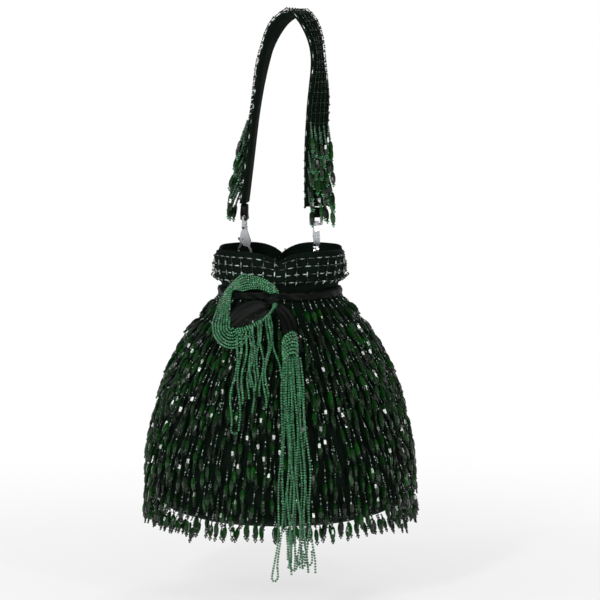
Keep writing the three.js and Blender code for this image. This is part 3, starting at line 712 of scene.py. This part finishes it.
# Long tassel: fifteen strands of seed beads from the right head, in three layers, every third of them turned
# back up at the bottom as a small loop. They lie on the drops and hang clear below the widest row.
skirt_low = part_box("tassel_skirt_right")[0]
skirt_top_z = head_place[1] - head_height / 2 + 5
skirt_end_z = skirt_low[2] / MM - neck_z
long_tassel = BeadWork()
strand_count = 15
tassel_pitch = 1.95
tassel_bead = 1.02
for k in range(strand_count):
    layer = k // 5 - 1
    lane = (k % 5) / 2 - 1 + layer * 0.2
    pitch = tassel_pitch * chance.uniform(0.95, 1.1)
    late = chance.uniform(0, 0.012)
    end_share = 1 - chance.uniform(0.0, 0.09)
    drift = chance.normal(0, 1.9)
    phase = chance.uniform(0, 2 * math.pi)
    wave = chance.uniform(0.6, 1.7)
    stations = []
    for share in np.linspace(late, end_share, 16):
        half = np.interp(share, [0, 0.15, 0.35, 0.6, 0.8, 1], [4.8, 6.6, 7.6, 8.8, 10.2, 11.5])
        middle = 8.7 + 3 * math.sin(share * 2.2)
        across = middle + lane * half + drift * share + wave * math.sin(share * 14 + phase) * (0.35 + share)
        off = tassel_off + layer * 2.2 + wave * 0.5 * math.cos(share * 11 + phase)
        stations.append(on_front(across, skirt_top_z + (skirt_end_z - skirt_top_z) * share, off))
    if k % 3 == 0:
        tip = stations[-1]
        stations += [tip + front_right * 2.2 + [0, 0, -2.2], tip + front_right * 4.4 + [0, 0, 0.5],
                     tip + front_right * 4.2 + [0, 0, 9]]
    long_tassel.thread(seed_bead, smooth_path(stations, 90), pitch, 0.5, tassel_bead)
long_tassel.piece("long_tassel_strands", tassel_glass, "bag", "bright_beads", ["tassel_skirt_right"])

# Left tassel: seven strands leave the knot together, fan out over the ribbon's tail, run down the left side
# and turn back as one bundle; three of them come back under the tail to the knot, and close the loop.
loop_start = [(-5, -9), (-3.4, -3), (-6, 3.2), (-13, 7.4), (-21, 8.6), (-29, 7.0)]
turn_middle = (-37.5, -23.5)
turn_lane = 2.15
turn_inner = 1.6
loop_strands = 7
loop_out = 3.4
loop_work = BeadWork()
loop_turn = BeadWork()
for strand in range(loop_strands):
    lane = strand - 2
    reach = turn_inner + turn_lane * strand
    stations = []
    for k, (across, z) in enumerate(loop_start):
        spread = 0.3 + 0.32 * k
        before = np.array(loop_start[max(0, k - 1)])
        after = np.array(loop_start[min(len(loop_start) - 1, k + 1)])
        run = (after - before) / np.linalg.norm(after - before)
        x, up = np.array([across, z]) + np.array([run[1], -run[0]]) * lane * spread
        off = loop_out + 1.4 * math.cos(lane * 0.5) + 0.5 * math.sin(strand * 2 + k)
        stations.append(on_front(x, up, off))
    lift = loop_out + 0.8 * math.sin(strand * 1.9)
    half_way = np.array([-36, 1]) * 0.5 + np.array([turn_middle[0] - reach, 2 - reach * 0.5]) * 0.5
    stations.append(on_front(*half_way, lift + 1))
    bend = []
    for around in np.radians([172, 205, 240, 275, 310, 340]):
        across = turn_middle[0] + reach * math.cos(around)
        z = turn_middle[1] + reach * math.sin(around)
        bend.append(on_front(across, z, lift + 1.5 * math.sin((around - math.pi) / 2)))
    loop_work.thread(seed_bead, smooth_path(stations + bend[:1], 90), tassel_pitch, 0.5, tassel_bead)
    loop_turn.thread(seed_bead, smooth_path(bend, 50), tassel_pitch, 0.5, tassel_bead)
loop_work.piece("left_loop_upper_strands", tassel_glass, "bag", "bright_beads", ["tassel_loop_upper"])
loop_turn.piece("left_loop_turn", tassel_glass, "bag", "bright_beads", ["tassel_head_left"])
loop_lower = [(-5, -9), (-10.6, -15.5), (-20.4, -21.5), (-28, -24.8), (-34, -26)]
loop_back = BeadWork()
for strand in range(3):
    off = loop_out + (1.2 if strand == 1 else 0)
    stations = [on_front(across, z + 1.7 * (strand - 1) * (0.3 + 0.7 * k / 5), off)
                for k, (across, z) in enumerate(loop_lower)]
    loop_back.thread(seed_bead, smooth_path(stations, 60), tassel_pitch, 0.5, tassel_bead)
loop_back.piece("left_loop_lower_strands", tassel_glass, "bag", "bright_beads", ["tassel_loop_lower"])

# Short strands: they hang from the lower side of the loop, two of them joined at the bottom as one loop.
short_strands = BeadWork()
short_off = tassel_off - 2
hanging = [
    (-33, -29, -37, -98), (-29.5, -28, -31.5, -98), (-26, -26, -28.5, -78), (-23, -25, -23.5, -74),
    (-21, -23, -21, -84), (-17, -20, -19, -68), (-14, -18, -15.5, -72), (-11, -16, -10.5, -80),
    (-8, -14, 1, -60),
]
for k, (top_x, top_z, low_x, low_z) in enumerate(hanging):
    bend = chance.uniform(1.4, 3.4)
    phase = chance.uniform(0, 6.28)
    stations = []
    for share in np.linspace(0, 1, 12):
        drift = bend * math.sin(share * 7 + phase) * math.sin(share * math.pi)
        off = short_off + 0.8 * math.sin(share * 9 + phase)
        stations.append(on_front(top_x + (low_x - top_x) * share + drift, top_z + (low_z - top_z) * share, off))
    if k == 0:
        stations.append(on_front(-34.2, low_z - 2.2, short_off))
        stations.append(on_front(-31.8, low_z - 0.4, short_off))
    short_strands.thread(seed_bead, smooth_path(stations, 60), tassel_pitch, 0.5, tassel_bead)
    if k in (3, 5, 7):
        twin = [s + front_right * 1.9 + [0, 0, 3.0] for s in stations[:-1]]
        short_strands.thread(seed_bead, smooth_path(twin, 60), tassel_pitch, 0.45, tassel_bead)
short_strands.piece("short_tassel_strands", tassel_glass, "bag", "bright_beads", ["tassel_skirt_left"])

# Clip loops: two rounds of black satin cord sewn to the lining inside the collar, which the claws hold. Each
# is soft, so it isn't quite even, and lies on the course of the solid it stands for.


def softened(name, node, body, ruffle):
    """A satin piece on a solid's own form, with its edges rounded and small waves along it."""
    shape = bmesh.new()
    shape.from_mesh(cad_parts[node].data)
    shape.transform(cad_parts[node].matrix_world)
    bmesh.ops.remove_doubles(shape, verts=shape.verts, dist=2e-6)
    bmesh.ops.subdivide_edges(shape, edges=shape.edges, cuts=2, use_grid_fill=True)
    for _ in range(2):
        bmesh.ops.smooth_vert(
            shape, verts=shape.verts, factor=0.3, use_axis_x=True, use_axis_y=True, use_axis_z=True)
    shape.normal_update()
    points = []
    for corner in shape.verts:
        x, y, z = corner.co / MM
        wave = math.sin(x * 2.3 + z * 1.7) * math.sin(y * 2.1 - z * 2.6)
        points.append(np.array([x, y, z]) + np.array(corner.normal) * ruffle * wave)
    faces = [tuple(corner.index for corner in face.verts) for face in shape.faces]
    shape.free()
    return make_piece(name, points, faces, satin, body, nodes=[node])


for side in ("left", "right"):
    softened(f"hanging_loop_{side}", f"clip_loop_{side}", "bag", 0.08)

# Handle: a padded velvet strap, folded and edge-stitched, that rises from the left tab, lies flat over the
# grip and comes down to the right tab with a quarter of a turn in it.
handle_rise = 146
clip_x = (-51.5, 19.5)
left_leg = [(1, 1), (0.9, 0.78), (0.77, 0.5), (0.58, 0.2), (0.34, 0.045)]
right_leg = [(0.62, 0.035), (0.97, 0.14), (1.1, 0.36), (0.98, 0.68), (1, 1)]
grip_half = 5
strap_half = 10
strap_thick = 5
twist_left = [(0, 0), (0.2, 17), (0.5, 28), (1, 25)]
twist_right = [(0, 0), (0.2, -14), (0.5, 16), (1, 25)]


def cloth_curve(points, samples):
    """A curve with even speed through the leg's points, its knots spaced by the root of their distance."""
    points = np.asarray(points, float)
    ends = np.vstack([2 * points[0] - points[1], points, 2 * points[-1] - points[-2]])
    run = []
    for k in range(1, len(ends) - 2):
        a, b, c, d = ends[k - 1:k + 3]
        gap0, gap1, gap2 = (np.linalg.norm(q - p) ** 0.5 for p, q in ((a, b), (b, c), (c, d)))
        leave = ((b - a) / gap0 - (c - a) / (gap0 + gap1) + (c - b) / gap1) * gap1
        reach = ((c - b) / gap1 - (d - b) / (gap1 + gap2) + (d - c) / gap2) * gap1
        t = np.linspace(0, 1, 60, endpoint=False)[:, None]
        run.append(b + leave * t + (3 * (c - b) - 2 * leave - reach) * t ** 2
                   + (2 * (b - c) + leave + reach) * t ** 3)
    run.append(points[-1:])
    run = np.vstack(run)
    length = np.concatenate([[0], np.cumsum(np.linalg.norm(np.diff(run, axis=0), axis=1))])
    at = np.linspace(0, length[-1], samples)
    return np.stack([np.interp(at, length, run[:, k]) for k in range(3)], -1)


def twist_at(table, depth):
    share = min(max(depth / handle_rise, 0), 1)
    for (from_at, start), (to_at, stop) in zip(table, table[1:]):
        if share <= to_at:
            part = (share - from_at) / (to_at - from_at)
            part = part * part * (3 - 2 * part)
            return math.radians(start + (stop - start) * part)
    return math.radians(table[-1][1])


def leg_frames(points, table, samples):
    line = cloth_curve(points, samples)
    frames = []
    for k, middle in enumerate(line):
        run = line[min(k + 1, samples - 1)] - line[max(k - 1, 0)]
        if abs(middle[0]) <= grip_half + 0.01 and middle[2] > 0:
            run = np.array([1.0, 0, 0])
        run = run / np.linalg.norm(run)
        flat_out = np.cross(run, [0, 1, 0])
        flat_out /= np.linalg.norm(flat_out)
        twist = twist_at(table, -middle[2])
        across = np.array([0, math.cos(twist), 0]) + flat_out * math.sin(twist)
        out = np.cross(run, across)
        frames.append((middle, across, out / np.linalg.norm(out)))
    return frames


leg_samples = 60
left_points = [(clip_x[0] * x, 0, -handle_rise * z) for x, z in left_leg] + [(-grip_half, 0, strap_thick / 2)]
right_points = [(clip_x[1] * x, 0, -handle_rise * z) for x, z in right_leg]
right_points = [(grip_half, 0, strap_thick / 2)] + right_points
left_frames = leg_frames(left_points, twist_left, leg_samples)
right_frames = leg_frames(right_points, twist_right, leg_samples)
strap_frames = left_frames + right_frames


def strap_place(frame_at, across, out):
    middle, side, outward = frame_at
    return middle + side * across + outward * out


strap_rings = []
for k, frame_at in enumerate(strap_frames):
    ring = []
    for bend in np.linspace(0, 2 * math.pi, 28, endpoint=False):
        c, s = math.cos(bend), math.sin(bend)
        across = strap_half * math.copysign(abs(c) ** 0.45, c)
        out = strap_thick / 2 * math.copysign(abs(s) ** 0.6, s)
        stitch = 0.35 * math.exp(-((abs(across) - 8.2) / 0.5) ** 2)
        out -= math.copysign(stitch, out)
        ring.append(strap_place(frame_at, across, out))
    strap_rings.append(ring)
points, faces = skin(strap_rings, closed_ends=True)
strap_piece = make_piece("padded_strap", points, faces, velvet, "handle", ["strap"])

# Strap net: bugles along both edges, five lines of seeds down the outer face, and cross lines that close
# the squares.
strap_net = BeadWork()
strap_bugles = BeadWork()
usable = strap_frames[1:-1]
seam_line = 8.2
for across in np.linspace(-seam_line, seam_line, 5):
    path = [strap_place(f, across, strap_thick / 2 + 0.75) for f in usable]
    places, axes = along(path, 7.4)
    axes = axes / np.linalg.norm(axes, axis=1, keepdims=True)
    strap_net.string(bugle, places, axes, 0.4, 0.9)
    for step in (2.9, 4.5):
        strap_net.string(small_seed, places + axes * step, axes, 0.4, 0.9)
for edge in (-1, 1):
    path = [strap_place(f, edge * (strap_half + 0.3), 0.9) for f in usable]
    places, axes = along(path, 6.0)
    axes = axes / np.linalg.norm(axes, axis=1, keepdims=True)
    # Every second edge bugle goes into the bright glass: silver lining with a painted glint.
    strap_bugles.string(bugle, places[::2], axes[::2], 0.4, 0.9, 0.3)
    strap_net.string(small_seed, places + axes * 3.0, axes, 0.4, 1.3)
cross_step = 3
for frame_at in usable[::cross_step]:
    path = [strap_place(frame_at, a, strap_thick / 2 + 0.85) for a in np.linspace(-seam_line, seam_line, 12)]
    strap_net.thread(small_seed, path, 1.7, 0.4, 0.85)
strap_net.piece("strap_bead_net", dark_glass, "handle", "glass_beads", ["strap_net"])
strap_bugles.piece("strap_bugles", silver_lined_and_glint_glass, "handle", "glass_beads", ["strap_net"])

# Strap fringes: strands sewn across the lower third of each leg at several heights, each with a drop and a
# tip of seeds. They bunch outwards and hang past the strap's end.
fringe_start = 82
fringe_length = 82
fringe_tiers = 7
tier_pitch = 8.5
lane_half = 8.6
drop_room = 13
for side, frames in (("left", left_frames), ("right", right_frames[::-1])):
    strands_work, drops_work, glints_work = BeadWork(), BeadWork(), BeadWork()
    end_frame = frames[0]
    heights = np.array([f[0][2] for f in frames])
    order = np.argsort(heights)

    def leg_at(z):
        if z <= heights[0]:
            middle, across, out = end_frame
            return np.array([middle[0], 0, z]), across, out
        return [np.array([np.interp(z, heights[order], np.array([frames[k][part][axis] for k in order]))
                          for axis in range(3)]) for part in range(3)]

    for tier, start in enumerate(fringe_start + tier_pitch * np.arange(fringe_tiers)):
        for lane in np.linspace(-lane_half, lane_half, 5):
            lane = lane + (1.4 if tier % 2 else -0.6)
            start_here = start + chance.uniform(-4, 4)
            length = 11 + chance.uniform(0, 9)
            bulge = 1.5 + 3.2 * math.sin(min(1, (start - fringe_start + 8) / 60) * 1.9)
            bulge = bulge + chance.uniform(0, 1.6)
            stations = []
            for share in np.linspace(0, 1, 6):
                frame_at = leg_at(-start_here - length * share)
                across = np.clip(lane * (1 + 0.1 * share), -9, 9)
                stations.append(strap_place(frame_at, across, strap_thick / 2 + 1.4 + bulge * share))
            if stations[-1][2] - drop_room < -fringe_start - fringe_length:
                continue
            strands_work.thread(seed_bead, stations, 1.7, 0.12)
            # Painted glint: one tiny bright bicone beside each strand.
            glints_work.string(painted_glint_bead, stations[3] + frames[3][2] * 0.6, [0, 0, 1], 0.3)
            lean = stations[-1] - stations[-2]
            lean = lean / np.linalg.norm(lean) * [0.5, 0.5, 1]
            lean /= np.linalg.norm(lean)
            heart = stations[-1] + lean * (drop_half + 0.2)
            drops_work.string(drop_bead, heart, lean, 0.2, spread=0.35)
            tip = heart + lean * (drop_half + 0.3)
            for shift in ([-0.9, 0, 0], [0.9, 0, 0], [0, 0, -1.4]):
                strands_work.string(small_seed, tip + shift, np.array([1, 0.2, 0]), 0.6)
    node = f"strap_fringe_{side}"
    strands_work.piece(f"{node}_seeds", tassel_glass, "handle", "bright_beads", [node])
    drops_work.piece(f"{node}_drops", drop_glass, "handle", "bright_beads", [node], smooth=False)
    glints_work.piece(f"{node}_bright_seeds", silver_lined_and_glint_glass, "handle", "bright_beads", [node])

# Tabs: a narrow satin-faced strip folded round each ring's bar. Its two ends are sewn together under the
# strap's end, and its folded edges are soft.
for side in ("left", "right"):
    softened(f"folded_tab_{side}", f"strap_tab_{side}", "handle", 0.15)

# Clips: cast claws with a swivel ring, plated bright silver and worn a little dull in small random patches. The
# lever, its pin and spring take a darker copy of the plate, a painted shade for the recess they sit in.
plate_wear, wear_in, wear_out = group_nodes(
    "plate_wear",
    [
        ("Bright", "NodeSocketColor", (0.8, 0.8, 0.82, 1)),
        ("Dull", "NodeSocketColor", (0.4, 0.4, 0.42, 1)),
    ],
    [("Color", "NodeSocketColor"), ("Rough", "NodeSocketFloat"), ("Height", "NodeSocketFloat")],
)
wear_place = plate_wear.nodes.new("ShaderNodeTexCoord")
wear_noise = plate_wear.nodes.new("ShaderNodeTexNoise")
wear_noise.inputs["Scale"].default_value = 420
wear_noise.inputs["Detail"].default_value = 5
wear_ramp = plate_wear.nodes.new("ShaderNodeMapRange")
wear_ramp.inputs["From Min"].default_value = 0.4
wear_ramp.inputs["From Max"].default_value = 0.75
wear_mix = plate_wear.nodes.new("ShaderNodeMix")
wear_mix.data_type = "RGBA"
wear_rough = plate_wear.nodes.new("ShaderNodeMapRange")
wear_rough.inputs["To Min"].default_value = 0.18
wear_rough.inputs["To Max"].default_value = 0.3
for source, target in (
    (wear_place.outputs["Object"], wear_noise.inputs["Vector"]),
    (wear_noise.outputs["Fac"], wear_ramp.inputs["Value"]),
    (wear_ramp.outputs["Result"], wear_mix.inputs[0]),
    (wear_in.outputs["Bright"], wear_mix.inputs[6]),
    (wear_in.outputs["Dull"], wear_mix.inputs[7]),
    (wear_noise.outputs["Fac"], wear_rough.inputs["Value"]),
    (wear_mix.outputs[2], wear_out.inputs["Color"]),
    (wear_rough.outputs["Result"], wear_out.inputs["Rough"]),
    (wear_noise.outputs["Fac"], wear_out.inputs["Height"]),
):
    plate_wear.links.new(source, target)


def plated(name, bright, dull):
    finish, shader = patterned(name, plate_wear, {"Bright": (*bright, 1), "Dull": (*dull, 1)}, 0.05, 0.0002)
    shader.inputs["Metallic"].default_value = 1
    return finish


silver_plate = plated("silver_plate", (0.42, 0.43, 0.45), (0.36, 0.37, 0.39))
# Painted shade: the parts in the claw's recess take a darker copy of the silver plate.
painted_recess_shade_plate = plated("painted_recess_shade_plate", (0.16, 0.16, 0.17), (0.08, 0.08, 0.085))
for side in ("left", "right"):
    for kind, finish in (("swivel_ring", silver_plate), ("claw", silver_plate), ("claw_lever", painted_recess_shade_plate),
                         ("lever_pin", painted_recess_shade_plate), ("lever_spring", painted_recess_shade_plate)):
        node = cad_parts[f"{kind}_{side}"]
        node.data.materials.clear()
        node.data.materials.append(finish)

# Floor and light: a white studio floor just under the tassel, that fades to plain white away from the bag.
floor_z = -452
floor_mesh = bpy.data.meshes.new("studio_floor")
floor_half = 80
floor_mesh.from_pydata(
    [(-floor_half, -floor_half, floor_z * MM), (floor_half, -floor_half, floor_z * MM),
     (floor_half, floor_half, floor_z * MM), (-floor_half, floor_half, floor_z * MM)], [], [(0, 1, 2, 3)])
floor = bpy.data.objects.new("studio_floor", floor_mesh)
bpy.context.scene.collection.objects.link(floor)
floor_finish = bpy.data.materials.new("studio_white")
floor_finish.use_nodes = True
tree = floor_finish.node_tree
plain = tree.nodes["Principled BSDF"]
plain.inputs["Base Color"].default_value = (0.86, 0.86, 0.86, 1)
plain.inputs["Roughness"].default_value = 0.9
plain.inputs["Specular IOR Level"].default_value = 0.0
place = tree.nodes.new("ShaderNodeTexCoord")
distance = tree.nodes.new("ShaderNodeVectorMath")
distance.operation = "LENGTH"
fade = tree.nodes.new("ShaderNodeMapRange")
fade.interpolation_type = "SMOOTHSTEP"
fade.inputs["From Min"].default_value = 0.05
fade.inputs["From Max"].default_value = 0.9
fade.inputs["To Min"].default_value = 0.35
glow = tree.nodes.new("ShaderNodeEmission")
glow.inputs["Color"].default_value = (1, 1, 1, 1)
rays = tree.nodes.new("ShaderNodeLightPath")
seen = tree.nodes.new("ShaderNodeMath")
seen.operation = "MAXIMUM"
through = tree.nodes.new("ShaderNodeMath")
through.operation = "MAXIMUM"
faded = tree.nodes.new("ShaderNodeMath")
faded.operation = "MULTIPLY"
blend = tree.nodes.new("ShaderNodeMixShader")
for source, target in (
    (place.outputs["Object"], distance.inputs[0]), (distance.outputs["Value"], fade.inputs["Value"]),
    (rays.outputs["Is Camera Ray"], seen.inputs[0]), (rays.outputs["Is Glossy Ray"], seen.inputs[1]),
    (seen.outputs[0], through.inputs[0]), (rays.outputs["Is Transmission Ray"], through.inputs[1]),
    (fade.outputs["Result"], faded.inputs[0]), (through.outputs[0], faded.inputs[1]),
    (faded.outputs[0], blend.inputs[0]), (plain.outputs[0], blend.inputs[1]),
    (glow.outputs[0], blend.inputs[2]),
    (blend.outputs[0], tree.nodes["Material Output"].inputs["Surface"]),
):
    tree.links.new(source, target)
floor_mesh.materials.append(floor_finish)

world = bpy.data.worlds.new("studio_air")
bpy.context.scene.world = world
world.use_nodes = True
air = world.node_tree
sky = air.nodes["Background"]
sky.inputs["Color"].default_value = (1, 1, 1, 1)
sky.inputs["Strength"].default_value = 0.22
white = air.nodes.new("ShaderNodeBackground")
white.inputs["Strength"].default_value = 1.0
white.inputs["Color"].default_value = (1, 1, 1, 1)
sight = air.nodes.new("ShaderNodeLightPath")
choose = air.nodes.new("ShaderNodeMixShader")
sight_or_through = air.nodes.new("ShaderNodeMath")
sight_or_through.operation = "MAXIMUM"
air.links.new(sight.outputs["Is Camera Ray"], sight_or_through.inputs[0])
air.links.new(sight.outputs["Is Transmission Ray"], sight_or_through.inputs[1])
air.links.new(sight_or_through.outputs[0], choose.inputs[0])
air.links.new(sky.outputs[0], choose.inputs[1])
air.links.new(white.outputs[0], choose.inputs[2])
air.links.new(choose.outputs[0], air.nodes["World Output"].inputs["Surface"])


def studio_lamp(name, azimuth, height, distance_m, width, tall, power):
    """A flat lamp that faces the middle of the bag, at an angle round it from the camera's side."""
    lamp = bpy.data.objects.new(name, bpy.data.lights.new(name, "AREA"))
    lamp.data.shape = "RECTANGLE"
    lamp.data.size = width
    lamp.data.size_y = tall
    lamp.data.energy = power
    bpy.context.scene.collection.objects.link(lamp)
    turn = front_turn + math.radians(azimuth)
    aim = Vector((bag_axis_x * MM, 0, -0.25))
    lamp.location = aim + Vector((math.sin(turn) * distance_m, -math.cos(turn) * distance_m, height))
    lamp.rotation_euler = (aim - lamp.location).to_track_quat("-Z", "Y").to_euler()


studio_lamp("key_lamp", -24, 0.75, 1.5, 0.16, 0.7, 13)
studio_lamp("fill_lamp", 36, 0.5, 1.6, 0.16, 0.7, 9)
studio_lamp("low_lamp", -4, 0.25, 1.9, 0.14, 0.3, 6)
studio_lamp("side_lamp", -62, 0.4, 1.6, 0.16, 0.5, 6)
studio_lamp("back_lamp", 160, 1.2, 1.5, 0.9, 0.9, 12)
